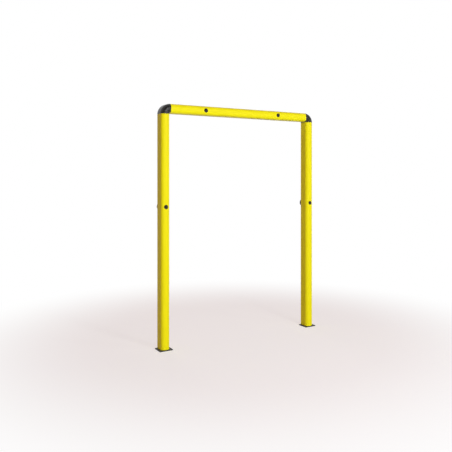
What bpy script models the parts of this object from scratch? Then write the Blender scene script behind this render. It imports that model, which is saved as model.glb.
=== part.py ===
"""Door frame guard: two posts, a beam, two bent corners, and their floor and wall fixings.

The guard stands on the floor in front of a doorway and is bolted to the wall behind it.
X runs along the wall, Y runs into the wall and Z is up. The origin is on the floor, in the
middle of the width and of the depth. All sizes are in metres.
"""

import math

import bmesh
import bpy
from mathutils import Vector

# The whole frame
FRAME_HEIGHT = 2.250
POST_PITCH = 1.655
FIT_GAP = 0.0003

# The extruded profile of the posts and the beam, seen from its end
PROFILE_WIDTH = 0.086
PROFILE_DEPTH = 0.110
PROFILE_WALL = 0.007
FRONT_RADIUS = 0.034
BACK_RADIUS = 0.012
SMALLEST_RADIUS = 0.001
FRONT_ARC_STEPS = 8
BACK_ARC_STEPS = 3

# The moulded corners and the spigots that fit inside the profile
CORNER_INNER_RADIUS = 0.008
CORNER_STEPS = 12
SPIGOT_LENGTH = 0.060
SPIGOT_WALL = 0.005

# The floor plates
PLATE_THICKNESS = 0.008
PLATE_SIDE_LEDGE = 0.022
PLATE_FRONT_LEDGE = 0.011
PLATE_CORNER_RADIUS = 0.005
PLATE_EDGE_BREAK = 0.001
ANCHOR_SPACING = 0.042

# The wall fixings
POST_FIXING_HEIGHT = 1.306
BEAM_FIXING_SPACING = 0.832
SPACER_DIAMETER = 0.076
SPACER_THICKNESS = 0.018
SPACER_CHAMFER = 0.0015
HOLE_CLEARANCE = 0.0005

# The caps that close the holes over the wall bolts
ACCESS_DIAMETER = 0.031
CAP_DIAMETER = 0.040
CAP_DOME = 0.007
CAP_RIM = 0.001
CAP_WALL = 0.002
CAP_SEAT_MARGIN = 0.0009
CAP_LIP = 0.0007
CAP_TAIL = 0.003
CAP_DOME_STEPS = 4

# The bolts and washers
BOLT_DIAMETER = 0.012
BOLT_ACROSS_FLATS = 0.018
BOLT_HEAD_HEIGHT = 0.0075
BOLT_CHAMFER = 0.001
BOLT_END_INSET = 0.001
WASHER_DIAMETER = 0.024
WASHER_THICKNESS = 0.0025

ROUND_STEPS = 32
SMALL_ROUND_STEPS = 20
CUTTER_OVERRUN = 0.02
WELD_DISTANCE = 0.00001
SHARP_ANGLE = math.radians(32)

# Places that follow from the sizes above
OVERALL_DEPTH = SPACER_THICKNESS + FIT_GAP + PROFILE_DEPTH + PLATE_FRONT_LEDGE
WALL_Y = OVERALL_DEPTH / 2
PROFILE_Y = WALL_Y - SPACER_THICKNESS - FIT_GAP - PROFILE_DEPTH / 2
CORNER_LEG = PROFILE_WIDTH + CORNER_INNER_RADIUS
POST_BOTTOM = PLATE_THICKNESS + FIT_GAP
POST_TOP = FRAME_HEIGHT - CORNER_LEG - FIT_GAP
BEAM_HEIGHT = FRAME_HEIGHT - PROFILE_WIDTH / 2
BEAM_LENGTH = POST_PITCH + PROFILE_WIDTH - 2 * (CORNER_LEG + FIT_GAP)
SPIGOT_INSET = PROFILE_WALL + FIT_GAP
BORE_INSET = SPIGOT_INSET + SPIGOT_WALL
BOLT_HOLE_RADIUS = BOLT_DIAMETER / 2 + HOLE_CLEARANCE

# Heights along a wall fixing, from the wall towards the front
BACK_OUTSIDE = SPACER_THICKNESS + FIT_GAP
BACK_INSIDE = BACK_OUTSIDE + PROFILE_WALL
FRONT_OUTSIDE = BACK_OUTSIDE + PROFILE_DEPTH
FRONT_INSIDE = FRONT_OUTSIDE - PROFILE_WALL

UPRIGHT = (0.0, 0.0, 0.0)
FACING_FRONT = (math.radians(90), 0.0, 0.0)
LYING_ALONG_X = (0.0, math.radians(90), 0.0)


def clear_scene():
    for obj in list(bpy.data.objects):
        bpy.data.objects.remove(obj, do_unlink=True)


def new_collection(name):
    collection = bpy.data.collections.new(name)
    bpy.context.scene.collection.children.link(collection)
    return collection


def new_material(name, colour, roughness, metallic=0.0):
    material = bpy.data.materials.new(name)
    material.use_nodes = True
    shader = material.node_tree.nodes["Principled BSDF"]
    shader.inputs["Base Color"].default_value = (*colour, 1.0)
    shader.inputs["Roughness"].default_value = roughness
    shader.inputs["Metallic"].default_value = metallic
    return material


clear_scene()
PARTS = new_collection("door_frame_guard")
CUTTERS = new_collection("cutters")
YELLOW_PLASTIC = new_material("yellow_plastic", (0.92, 0.80, 0.012), 0.45)
BLACK_PLASTIC = new_material("black_plastic", (0.035, 0.034, 0.030), 0.42)
BLACK_PAINT = new_material("black_paint", (0.045, 0.042, 0.036), 0.50)
ZINC = new_material("zinc", (0.55, 0.55, 0.56), 0.35, 1.0)


def add_part(name, mesh, material, location, rotation=UPRIGHT):
    obj = bpy.data.objects.new(name, mesh)
    if not mesh.materials:
        mesh.materials.append(material)
    obj.location = location
    obj.rotation_euler = rotation
    PARTS.objects.link(obj)
    return obj


def add_cutter(name, mesh, location=(0.0, 0.0, 0.0), rotation=UPRIGHT):
    obj = bpy.data.objects.new(name, mesh)
    obj.location = location
    obj.rotation_euler = rotation
    obj.hide_render = True
    obj.display_type = "WIRE"
    CUTTERS.objects.link(obj)
    return obj


def add_boolean(obj, other, operation):
    modifier = obj.modifiers.new(operation.lower(), "BOOLEAN")
    modifier.operation = operation
    modifier.solver = "EXACT"
    modifier.object = other


def finish_mesh(work, mesh):
    """Welds loose edges, turns the faces outward and shades the round stretches smooth."""
    bmesh.ops.remove_doubles(work, verts=work.verts, dist=WELD_DISTANCE)
    bmesh.ops.recalc_face_normals(work, faces=work.faces)
    work.to_mesh(mesh)
    work.free()
    mesh.shade_smooth()
    mesh.set_sharp_from_angle(angle=SHARP_ANGLE)
    return mesh


def baked(obj):
    """The mesh that an object's modifiers or curve make. The object itself is removed."""
    bpy.context.view_layer.update()
    evaluated = obj.evaluated_get(bpy.context.evaluated_depsgraph_get())
    mesh = bpy.data.meshes.new_from_object(evaluated)
    bpy.data.objects.remove(obj, do_unlink=True)
    work = bmesh.new()
    work.from_mesh(mesh)
    return finish_mesh(work, mesh)


def extruded(outlines, length):
    """A flat shape between closed outlines, extruded by half the length to either side."""
    curve = bpy.data.curves.new("outline", "CURVE")
    curve.dimensions = "2D"
    curve.fill_mode = "BOTH"
    curve.extrude = length / 2
    for outline in outlines:
        spline = curve.splines.new("POLY")
        spline.points.add(len(outline) - 1)
        for point, (x, y) in zip(spline.points, outline):
            point.co = (x, y, 0.0, 1.0)
        spline.use_cyclic_u = True
    return baked(add_cutter("outline", curve))


def turned(profile, steps, ring=False):
    """A shape turned about Z. Its (radius, height) points run down its outer side."""
    count = len(profile)
    edges = [(index, index + 1) for index in range(count - 1)]
    if ring:
        edges.append((count - 1, 0))
    mesh = bpy.data.meshes.new("turned")
    mesh.from_pydata([(radius, 0.0, height) for radius, height in profile], edges, [])
    screw = add_cutter("turned", mesh)
    turn = screw.modifiers.new("turn", "SCREW")
    turn.steps = steps
    turn.render_steps = steps
    turn.use_merge_vertices = True
    turn.merge_threshold = WELD_DISTANCE
    return baked(screw)


def rounded_outline(width, depth, front_radius, back_radius):
    """A rectangle with round corners, as points in one direction round. Its front is at -Y."""
    corners = (
        (1, -1, front_radius, FRONT_ARC_STEPS),
        (1, 1, back_radius, BACK_ARC_STEPS),
        (-1, 1, back_radius, BACK_ARC_STEPS),
        (-1, -1, front_radius, FRONT_ARC_STEPS),
    )
    points = []
    for quarter, (side, face, radius, steps) in enumerate(corners):
        centre_x = side * (width / 2 - radius)
        centre_y = face * (depth / 2 - radius)
        for step in range(steps + 1):
            angle = (quarter - 1 + step / steps) * math.pi / 2
            points.append((centre_x + radius * math.cos(angle), centre_y + radius * math.sin(angle)))
    return points


def profile_outline(inset=0.0):
    """The profile's outline, or one that runs inside it at an even distance."""
    return rounded_outline(
        PROFILE_WIDTH - 2 * inset,
        PROFILE_DEPTH - 2 * inset,
        max(FRONT_RADIUS - inset, SMALLEST_RADIUS),
        max(BACK_RADIUS - inset, SMALLEST_RADIUS),
    )


def front_drop(offset, inset=0.0):
    """How far the profile's rounded front lies behind its middle, at a distance from it."""
    radius = FRONT_RADIUS - inset
    beyond = max(offset - (PROFILE_WIDTH / 2 - FRONT_RADIUS), 0.0)
    return radius - math.sqrt(radius**2 - beyond**2)


CAP_SEAT_RADIUS = CAP_DIAMETER / 2 + FIT_GAP
CAP_SEAT_HEIGHT = FRONT_OUTSIDE - front_drop(CAP_SEAT_RADIUS) - CAP_SEAT_MARGIN


def fixing_cutter_mesh():
    """The holes of one wall fixing: the cap's seat, the tool's way in and the bolt hole."""
    middle = (BACK_INSIDE + FRONT_INSIDE) / 2
    return turned(
        (
            (0.0, FRONT_OUTSIDE + CUTTER_OVERRUN),
            (CAP_SEAT_RADIUS, FRONT_OUTSIDE + CUTTER_OVERRUN),
            (CAP_SEAT_RADIUS, CAP_SEAT_HEIGHT),
            (ACCESS_DIAMETER / 2, CAP_SEAT_HEIGHT),
            (ACCESS_DIAMETER / 2, middle),
            (BOLT_HOLE_RADIUS, middle),
            (BOLT_HOLE_RADIUS, BACK_OUTSIDE - CUTTER_OVERRUN),
            (0.0, BACK_OUTSIDE - CUTTER_OVERRUN),
        ),
        ROUND_STEPS,
    )


def cap_mesh():
    """A domed cap with a flange in its seat and a hollow skirt that snaps behind the wall."""
    cap_radius = CAP_DIAMETER / 2
    rim_height = FRONT_OUTSIDE + CAP_RIM
    sphere_radius = (cap_radius**2 + CAP_DOME**2) / (2 * CAP_DOME)
    skirt_radius = ACCESS_DIAMETER / 2 - FIT_GAP
    lip_radius = skirt_radius + CAP_LIP
    lip_top = FRONT_INSIDE - front_drop(lip_radius, PROFILE_WALL) - FIT_GAP
    lip_bottom = lip_top - 2 * CAP_LIP

    def dome(radius):
        return rim_height + CAP_DOME - sphere_radius + math.sqrt(sphere_radius**2 - radius**2)

    outer_steps = [cap_radius * step / CAP_DOME_STEPS for step in range(CAP_DOME_STEPS + 1)]
    inner_radius = skirt_radius - CAP_WALL
    inner_steps = [inner_radius * (1 - step / CAP_DOME_STEPS) for step in range(CAP_DOME_STEPS + 1)]
    skirt = (
        (cap_radius, CAP_SEAT_HEIGHT + FIT_GAP),
        (skirt_radius, CAP_SEAT_HEIGHT + FIT_GAP),
        (skirt_radius, lip_top),
        (lip_radius, lip_top - CAP_LIP),
        (skirt_radius, lip_bottom),
        (skirt_radius, lip_bottom - CAP_TAIL),
        (inner_radius, lip_bottom - CAP_TAIL),
    )
    profile = [(radius, dome(radius)) for radius in outer_steps]
    profile.extend(skirt)
    profile.extend((radius, dome(radius) - CAP_WALL) for radius in inner_steps)
    return turned(profile, ROUND_STEPS)


def spacer_mesh():
    """A thick round spacer that stands on its origin, with its outer edges broken."""
    outer = SPACER_DIAMETER / 2
    return turned(
        (
            (BOLT_HOLE_RADIUS, SPACER_THICKNESS),
            (outer - SPACER_CHAMFER, SPACER_THICKNESS),
            (outer, SPACER_THICKNESS - SPACER_CHAMFER),
            (outer, SPACER_CHAMFER),
            (outer - SPACER_CHAMFER, 0.0),
            (BOLT_HOLE_RADIUS, 0.0),
        ),
        ROUND_STEPS,
        ring=True,
    )


def washer_mesh():
    outer = WASHER_DIAMETER / 2
    return turned(
        (
            (BOLT_HOLE_RADIUS, WASHER_THICKNESS),
            (outer, WASHER_THICKNESS),
            (outer, 0.0),
            (BOLT_HOLE_RADIUS, 0.0),
        ),
        SMALL_ROUND_STEPS,
        ring=True,
    )


def bolt_mesh(shank_length):
    """A hexagon bolt whose head stands on its origin and whose shank runs down from there."""
    corner_radius = BOLT_ACROSS_FLATS / 2 / math.cos(math.pi / 6)
    shank_radius = BOLT_DIAMETER / 2
    blank = turned(
        (
            (0.0, BOLT_HEAD_HEIGHT),
            (corner_radius - BOLT_CHAMFER, BOLT_HEAD_HEIGHT),
            (corner_radius, BOLT_HEAD_HEIGHT - BOLT_CHAMFER / 2),
            (corner_radius + BOLT_CHAMFER, 0.0),
            (shank_radius, 0.0),
            (shank_radius, BOLT_CHAMFER - shank_length),
            (shank_radius - BOLT_CHAMFER, -shank_length),
            (0.0, -shank_length),
        ),
        SMALL_ROUND_STEPS,
    )
    bpy.ops.mesh.primitive_cylinder_add(
        vertices=6, radius=corner_radius, depth=2 * (shank_length + BOLT_HEAD_HEIGHT)
    )
    hexagon = bpy.context.object
    turned_blank = add_cutter("turned_blank", blank)
    add_boolean(turned_blank, hexagon, "INTERSECT")
    mesh = baked(turned_blank)
    bpy.data.objects.remove(hexagon, do_unlink=True)
    return mesh


def closed_loop(work, outline):
    verts = [work.verts.new((x, y, 0.0)) for x, y in outline]
    return [work.edges.new((verts[index - 1], vert)) for index, vert in enumerate(verts)]


def corner_mesh():
    """The left corner, from the middle of the post's top end.

    The section between the outline and the bore is spun through a quarter turn, and the ring
    that fits inside the profile is then drawn out at either end as a spigot.
    """
    work = bmesh.new()
    outside = closed_loop(work, profile_outline())
    spigot = closed_loop(work, profile_outline(SPIGOT_INSET))
    bore = closed_loop(work, profile_outline(BORE_INSET))
    shoulder = bmesh.ops.bridge_loops(work, edges=outside + spigot)["faces"]
    ring = bmesh.ops.bridge_loops(work, edges=spigot + bore)["faces"]
    for face in ring:
        face.material_index = 1
    spun = bmesh.ops.spin(
        work,
        geom=shoulder + ring,
        cent=(PROFILE_WIDTH / 2 + CORNER_INNER_RADIUS, 0.0, 0.0),
        axis=(0.0, 1.0, 0.0),
        angle=math.pi / 2,
        steps=CORNER_STEPS,
    )
    far_end = [item for item in spun["geom_last"] if isinstance(item, bmesh.types.BMFace)]
    for faces, way_out in ((ring, Vector((0, 0, -1))), (far_end, Vector((1, 0, 0)))):
        chosen = [face for face in faces if face.material_index == 1]
        edges = list({edge for face in chosen for edge in face.edges})
        drawn = bmesh.ops.extrude_face_region(work, geom=chosen + edges)["geom"]
        verts = [item for item in drawn if isinstance(item, bmesh.types.BMVert)]
        bmesh.ops.translate(work, verts=verts, vec=way_out * SPIGOT_LENGTH)
    for face in work.faces:
        face.material_index = 0
    return finish_mesh(work, bpy.data.meshes.new("corner"))


def cut_fixing_hole(obj, cutter_mesh, name, x, z):
    cutter = add_cutter(name + "_holes", cutter_mesh, (x, WALL_Y, z), FACING_FRONT)
    add_boolean(obj, cutter, "DIFFERENCE")


def add_profiles():
    """The two posts and the beam, which are lengths of one hollow profile."""
    outlines = (profile_outline(), profile_outline(PROFILE_WALL))
    post_length = POST_TOP - POST_BOTTOM
    cutter_mesh = fixing_cutter_mesh()
    for side, sign in (("left", -1), ("right", 1)):
        x = sign * POST_PITCH / 2
        place = (x, PROFILE_Y, POST_BOTTOM + post_length / 2)
        post = add_part(side + "_post", extruded(outlines, post_length), YELLOW_PLASTIC, place)
        cut_fixing_hole(post, cutter_mesh, side + "_post", x, POST_FIXING_HEIGHT)
    place = (0.0, PROFILE_Y, BEAM_HEIGHT)
    beam = add_part("top_beam", extruded(outlines, BEAM_LENGTH), YELLOW_PLASTIC, place, LYING_ALONG_X)
    for side, sign in (("left", -1), ("right", 1)):
        x = sign * BEAM_FIXING_SPACING / 2
        cut_fixing_hole(beam, cutter_mesh, side + "_beam", x, BEAM_HEIGHT)


def add_corners():
    """The bends between the posts and the beam. The right one is the left one turned about."""
    z = FRAME_HEIGHT - CORNER_LEG
    add_part("left_corner", corner_mesh(), BLACK_PLASTIC, (-POST_PITCH / 2, PROFILE_Y, z))
    mirrored = corner_mesh()
    mirrored.transform(((-1, 0, 0, 0), (0, 1, 0, 0), (0, 0, 1, 0), (0, 0, 0, 1)))
    mirrored.flip_normals()
    add_part("right_corner", mirrored, BLACK_PLASTIC, (POST_PITCH / 2, PROFILE_Y, z))


def add_floor_plates():
    """The plates under the posts, each with an upright spigot inside its post."""
    plate_width = PROFILE_WIDTH + 2 * PLATE_SIDE_LEDGE
    plate_depth = PROFILE_DEPTH + PLATE_FRONT_LEDGE
    plate_y = PROFILE_Y - PLATE_FRONT_LEDGE / 2
    outline = rounded_outline(plate_width, plate_depth, PLATE_CORNER_RADIUS, PLATE_CORNER_RADIUS)
    upright_length = SPIGOT_LENGTH + PLATE_THICKNESS / 2
    upright_z = PLATE_THICKNESS / 2 + upright_length / 2
    upright = extruded((profile_outline(SPIGOT_INSET), profile_outline(BORE_INSET)), upright_length)
    hole = turned(
        (
            (0.0, PLATE_THICKNESS + CUTTER_OVERRUN),
            (BOLT_HOLE_RADIUS, PLATE_THICKNESS + CUTTER_OVERRUN),
            (BOLT_HOLE_RADIUS, -CUTTER_OVERRUN),
            (0.0, -CUTTER_OVERRUN),
        ),
        SMALL_ROUND_STEPS,
    )
    shank_length = PLATE_THICKNESS + WASHER_THICKNESS + 2 * FIT_GAP - BOLT_END_INSET
    anchor = bolt_mesh(shank_length)
    washer = washer_mesh()
    washer_z = PLATE_THICKNESS + FIT_GAP
    anchor_z = washer_z + WASHER_THICKNESS + FIT_GAP
    for side, sign in (("left", -1), ("right", 1)):
        x = sign * POST_PITCH / 2
        mesh = extruded((outline,), PLATE_THICKNESS)
        plate = add_part(side + "_floor_plate", mesh, BLACK_PAINT, (x, plate_y, PLATE_THICKNESS / 2))
        bevel = plate.modifiers.new("broken_edges", "BEVEL")
        bevel.width = PLATE_EDGE_BREAK
        bevel.segments = 1
        bevel.limit_method = "ANGLE"
        bevel.angle_limit = math.radians(60)
        add_boolean(plate, add_cutter(side + "_upright", upright, (x, PROFILE_Y, upright_z)), "UNION")
        for end, direction in (("front", -1), ("back", 1)):
            y = PROFILE_Y + direction * ANCHOR_SPACING / 2
            name = side + "_" + end
            add_boolean(plate, add_cutter(name + "_anchor_hole", hole, (x, y, 0.0)), "DIFFERENCE")
            add_part(name + "_floor_anchor", anchor, ZINC, (x, y, anchor_z))
            add_part(name + "_anchor_washer", washer, ZINC, (x, y, washer_z))


def add_wall_fixings():
    """At four places, a spacer on the wall, a bolt with its washer, and a cap at the front."""
    spacer = spacer_mesh()
    washer = washer_mesh()
    washer_height = BACK_INSIDE + FIT_GAP
    bolt_height = washer_height + WASHER_THICKNESS + FIT_GAP
    bolt = bolt_mesh(bolt_height - BOLT_END_INSET)
    cap = cap_mesh()
    for side, sign in (("left", -1), ("right", 1)):
        places = (
            (side + "_post", sign * POST_PITCH / 2, POST_FIXING_HEIGHT),
            (side + "_beam", sign * BEAM_FIXING_SPACING / 2, BEAM_HEIGHT),
        )
        for name, x, z in places:
            add_part(name + "_spacer", spacer, BLACK_PLASTIC, (x, WALL_Y, z), FACING_FRONT)
            washer_place = (x, WALL_Y - washer_height, z)
            add_part(name + "_washer", washer, ZINC, washer_place, FACING_FRONT)
            add_part(name + "_bolt", bolt, ZINC, (x, WALL_Y - bolt_height, z), FACING_FRONT)
            add_part(name + "_cap", cap, BLACK_PLASTIC, (x, WALL_Y, z), FACING_FRONT)


add_profiles()
add_corners()
add_floor_plates()
add_wall_fixings()
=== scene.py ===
import math

import bmesh
import bpy
from mathutils import Matrix, Vector


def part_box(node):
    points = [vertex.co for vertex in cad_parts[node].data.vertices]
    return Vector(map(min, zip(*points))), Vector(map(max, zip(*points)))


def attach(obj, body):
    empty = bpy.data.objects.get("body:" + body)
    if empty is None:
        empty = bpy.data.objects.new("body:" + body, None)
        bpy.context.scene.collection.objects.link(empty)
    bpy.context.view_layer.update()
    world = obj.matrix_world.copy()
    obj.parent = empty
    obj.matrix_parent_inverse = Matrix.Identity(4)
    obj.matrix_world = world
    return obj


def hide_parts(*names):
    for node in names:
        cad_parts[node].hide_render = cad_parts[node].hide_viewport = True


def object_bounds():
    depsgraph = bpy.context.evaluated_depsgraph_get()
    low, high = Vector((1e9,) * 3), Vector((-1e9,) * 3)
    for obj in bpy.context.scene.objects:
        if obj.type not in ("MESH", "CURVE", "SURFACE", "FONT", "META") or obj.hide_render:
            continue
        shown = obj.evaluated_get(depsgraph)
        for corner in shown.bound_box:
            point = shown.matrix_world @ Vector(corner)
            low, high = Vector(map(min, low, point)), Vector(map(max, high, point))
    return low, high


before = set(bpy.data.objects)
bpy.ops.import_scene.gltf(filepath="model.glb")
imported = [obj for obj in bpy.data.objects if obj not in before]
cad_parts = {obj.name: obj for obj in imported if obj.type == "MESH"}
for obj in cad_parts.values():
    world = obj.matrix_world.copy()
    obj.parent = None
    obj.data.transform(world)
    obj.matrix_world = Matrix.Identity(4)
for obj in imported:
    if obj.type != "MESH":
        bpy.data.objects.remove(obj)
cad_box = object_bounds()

# Floor plates
# Each post stands on a plate cut from 8 mm steel, with a short upright of the profile's inner
# shape welded to it. Both are powder coated black before the post is pushed down over them.

PROFILE_WIDTH = 0.086
PROFILE_DEPTH = 0.110
PROFILE_WALL = 0.007
FRONT_RADIUS = 0.034
BACK_RADIUS = 0.012
SMALLEST_RADIUS = 0.001
FRONT_ARC_STEPS = 24
BACK_ARC_STEPS = 10
FIT_GAP = 0.0003
SPIGOT_INSET = PROFILE_WALL + FIT_GAP
SPIGOT_WALL = 0.005
PLATE_CORNER_RADIUS = 0.005
PLATE_CORNER_STEPS = 8
PLATE_EDGE_RADIUS = 0.0012
PLATE_EDGE_STEPS = 4
UPRIGHT_LEAD_IN = 0.0012
WELD_SIZE = 0.0035
ANCHOR_HOLE_RADIUS = 0.0065
ANCHOR_HOLE_STEPS = 48
MERGE_DISTANCE = 0.000005
SHARP_ANGLE = math.radians(40)
LARGE_FACE_WEIGHT = 100
QUARTER = math.pi / 2
POWDER_BLACK = (0.020, 0.0195, 0.018)
POWDER_DUST = (0.085, 0.080, 0.070)


class Wire:
    """One output of a node. Arithmetic on it adds Math nodes to the same tree."""

    def __init__(self, tree, node, socket):
        self.tree = tree
        self.node = node
        self.socket = socket

    def other(self, name):
        """Another output of the same node."""
        return Wire(self.tree, self.node, find_socket(self.node.outputs, name))

    def maths(self, operation, *values):
        return self.tree.add("ShaderNodeMath", {"operation": operation}, dict(enumerate(values)))

    def __add__(self, value):
        return self.maths("ADD", self, value)

    def __sub__(self, value):
        return self.maths("SUBTRACT", self, value)

    def __mul__(self, value):
        return self.maths("MULTIPLY", self, value)

    def __truediv__(self, value):
        return self.maths("DIVIDE", self, value)

    def __radd__(self, value):
        return self.maths("ADD", value, self)

    def __rsub__(self, value):
        return self.maths("SUBTRACT", value, self)

    def __rmul__(self, value):
        return self.maths("MULTIPLY", value, self)

    def __rtruediv__(self, value):
        return self.maths("DIVIDE", value, self)

    def between(self, low, high):
        """0 below low, 1 above high and a smooth step from one to the other."""
        settings = {"interpolation_type": "SMOOTHSTEP", "clamp": True}
        sockets = {"Value": self, "From Min": low, "From Max": high}
        return self.tree.add("ShaderNodeMapRange", settings, sockets)


def find_socket(sockets, key):
    """A socket by its number, its identifier or its name."""
    if isinstance(key, int):
        return sockets[key]
    by_identifier = [socket for socket in sockets if socket.identifier == key]
    by_name = [socket for socket in sockets if socket.name == key]
    return (by_identifier + by_name)[0]


class Tree:
    """A node tree that is put together one node at a time."""

    def __init__(self, tree):
        self.tree = tree

    def add(self, kind, settings=None, sockets=None, output=0):
        """A new node with its settings and sockets. Returns one of its outputs, if it has any."""
        node = self.tree.nodes.new(kind)
        for name, value in (settings or {}).items():
            setattr(node, name, value)
        for key, value in (sockets or {}).items():
            socket = find_socket(node.inputs, key)
            for wire in value if isinstance(value, list) else [value]:
                if isinstance(wire, Wire):
                    self.tree.links.new(wire.socket, socket)
                else:
                    socket.default_value = wire
        return Wire(self, node, find_socket(node.outputs, output)) if node.outputs else None

    def mix(self, factor, first, second):
        """A colour that goes from the first to the second as the factor goes from 0 to 1."""
        colours = [
            (*colour, 1.0) if isinstance(colour, tuple) else colour for colour in (first, second)
        ]
        sockets = {"Factor_Float": factor, "A_Color": colours[0], "B_Color": colours[1]}
        return self.add("ShaderNodeMix", {"data_type": "RGBA"}, sockets, "Result_Color")

    def noise(self, place, scale, detail, roughness=0.5):
        sockets = {"Vector": place, "Scale": scale, "Detail": detail, "Roughness": roughness}
        return self.add("ShaderNodeTexNoise", None, sockets, "Fac")

    def bump(self, height, depth, strength):
        sockets = {"Height": height, "Distance": depth, "Strength": strength}
        return self.add("ShaderNodeBump", None, sockets)


class Finish(Tree):
    """A material with one shader, whose patterns read the place on the object."""

    def __init__(self, name, specular, metallic=0.0):
        self.material = bpy.data.materials.new(name)
        self.material.use_nodes = True
        super().__init__(self.material.node_tree)
        self.shader = self.tree.nodes["Principled BSDF"]
        self.shader.inputs["Specular IOR Level"].default_value = specular
        self.shader.inputs["Metallic"].default_value = metallic
        self.place = self.add("ShaderNodeTexCoord", None, None, "Object")

    def stretched(self, scale):
        return self.add("ShaderNodeMapping", None, {"Vector": self.place, "Scale": scale})

    def connect(self, **wires):
        for name, wire in wires.items():
            self.tree.links.new(wire.socket, self.shader.inputs[name.replace("_", " ")])
        return self.material


def powder_coat():
    """Black powder coat: a soft orange peel, and a little dust on its upper faces."""
    coat = Finish("powder_coat", specular=0.45)
    peel = coat.noise(coat.place, scale=620.0, detail=1.5)
    clouds = coat.noise(coat.place, scale=24.0, detail=4.0, roughness=0.6)
    grit = coat.noise(coat.place, scale=1500.0, detail=1.0).between(0.62, 0.70)
    facing = coat.add("ShaderNodeNewGeometry", None, None, "Normal")
    faces_up = coat.add("ShaderNodeSeparateXYZ", None, {0: facing}, "Z")
    dust = faces_up.between(0.5, 1.0) * clouds.between(0.35, 0.75)
    return coat.connect(
        Base_Color=coat.mix(dust * 0.55 + grit * 0.10, POWDER_BLACK, POWDER_DUST),
        Roughness=0.40 + clouds * 0.12 + dust * 0.15,
        Normal=coat.bump(peel + clouds * 0.4, depth=0.00005, strength=0.6),
    )


def rounded_outline(width, depth, front_radius, back_radius, front_steps, back_steps):
    """A rectangle with round corners, as points in one direction round. Its front is at -Y."""
    corners = (
        (1, -1, front_radius, front_steps),
        (1, 1, back_radius, back_steps),
        (-1, 1, back_radius, back_steps),
        (-1, -1, front_radius, front_steps),
    )
    points = []
    for corner, (side, face, radius, steps) in enumerate(corners):
        centre_x = side * (width / 2 - radius)
        centre_y = face * (depth / 2 - radius)
        for step in range(steps + 1):
            angle = (corner - 1 + step / steps) * QUARTER
            x = centre_x + radius * math.cos(angle)
            y = centre_y + radius * math.sin(angle)
            points.append((x, y))
    return points


def profile_outline(inset):
    """An outline that runs inside the profile's own at an even distance."""
    return rounded_outline(
        PROFILE_WIDTH - 2 * inset,
        PROFILE_DEPTH - 2 * inset,
        max(FRONT_RADIUS - inset, SMALLEST_RADIUS),
        max(BACK_RADIUS - inset, SMALLEST_RADIUS),
        FRONT_ARC_STEPS,
        BACK_ARC_STEPS,
    )


def ring_at(outline, z, centre):
    return [(centre[0] + x, centre[1] + y, z) for x, y in outline]


def loft(rings, ring_joined=False):
    """A closed mesh through rings of points, ended by flat faces or joined end to end."""
    work = bmesh.new()
    loops = [[work.verts.new(point) for point in ring] for ring in rings]
    count = len(loops[0])
    pairs = list(zip(loops, loops[1:]))
    if ring_joined:
        pairs.append((loops[-1], loops[0]))
    else:
        work.faces.new(loops[0])
        work.faces.new(loops[-1])
    for low, high in pairs:
        for index in range(count):
            work.faces.new((low[index - 1], low[index], high[index], high[index - 1]))
    bmesh.ops.recalc_face_normals(work, faces=work.faces)
    mesh = bpy.data.meshes.new("lofted")
    work.to_mesh(mesh)
    work.free()
    return mesh


def rounded_edge(radius, steps):
    """Insets and heights of an edge rounded from its side up to its end."""
    angles = [step / steps * QUARTER for step in range(steps + 1)]
    return [(radius * (1 - math.cos(angle)), radius * math.sin(angle)) for angle in angles]


def new_object(name, data):
    obj = bpy.data.objects.new(name, data)
    bpy.context.scene.collection.objects.link(obj)
    return obj


def evaluated_mesh(obj):
    """A plain mesh of the object with its modifiers, which are then removed."""
    bpy.context.view_layer.update()
    evaluated = obj.evaluated_get(bpy.context.evaluated_depsgraph_get())
    mesh = bpy.data.meshes.new_from_object(evaluated)
    obj.modifiers.clear()
    return mesh


def settle(obj, place=None, sharp_angle=SHARP_ANGLE):
    """Takes the object's modifiers and its place into its mesh, as one closed surface."""
    mesh = evaluated_mesh(obj)
    work = bmesh.new()
    work.from_mesh(mesh)
    if place:
        work.transform(place)
    bmesh.ops.remove_doubles(work, verts=work.verts, dist=MERGE_DISTANCE)
    bmesh.ops.recalc_face_normals(work, faces=work.faces)
    work.to_mesh(mesh)
    work.free()
    finishes = [material for material in mesh.materials if material]
    mesh.materials.clear()
    for material in finishes:
        mesh.materials.append(material)
    mesh.polygons.foreach_set("material_index", [0] * len(mesh.polygons))
    mesh.shade_smooth()
    mesh.set_sharp_from_angle(angle=sharp_angle)
    obj.data = mesh


def keep_true_flats(obj):
    """Flat faces keep their own normals beside rounded edges."""
    weighted = obj.modifiers.new("true_flats", "WEIGHTED_NORMAL")
    weighted.keep_sharp = True
    weighted.weight = LARGE_FACE_WEIGHT
    obj.data = evaluated_mesh(obj)


def cut(obj, other, operation="DIFFERENCE"):
    """Cuts or joins another object's form, which is then removed."""
    boolean = obj.modifiers.new("form", "BOOLEAN")
    boolean.operation = operation
    boolean.solver = "EXACT"
    boolean.object = other
    settle(obj)
    bpy.data.objects.remove(other, do_unlink=True)


def middle_of(node):
    low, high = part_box(node)
    return (low + high) / 2


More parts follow.
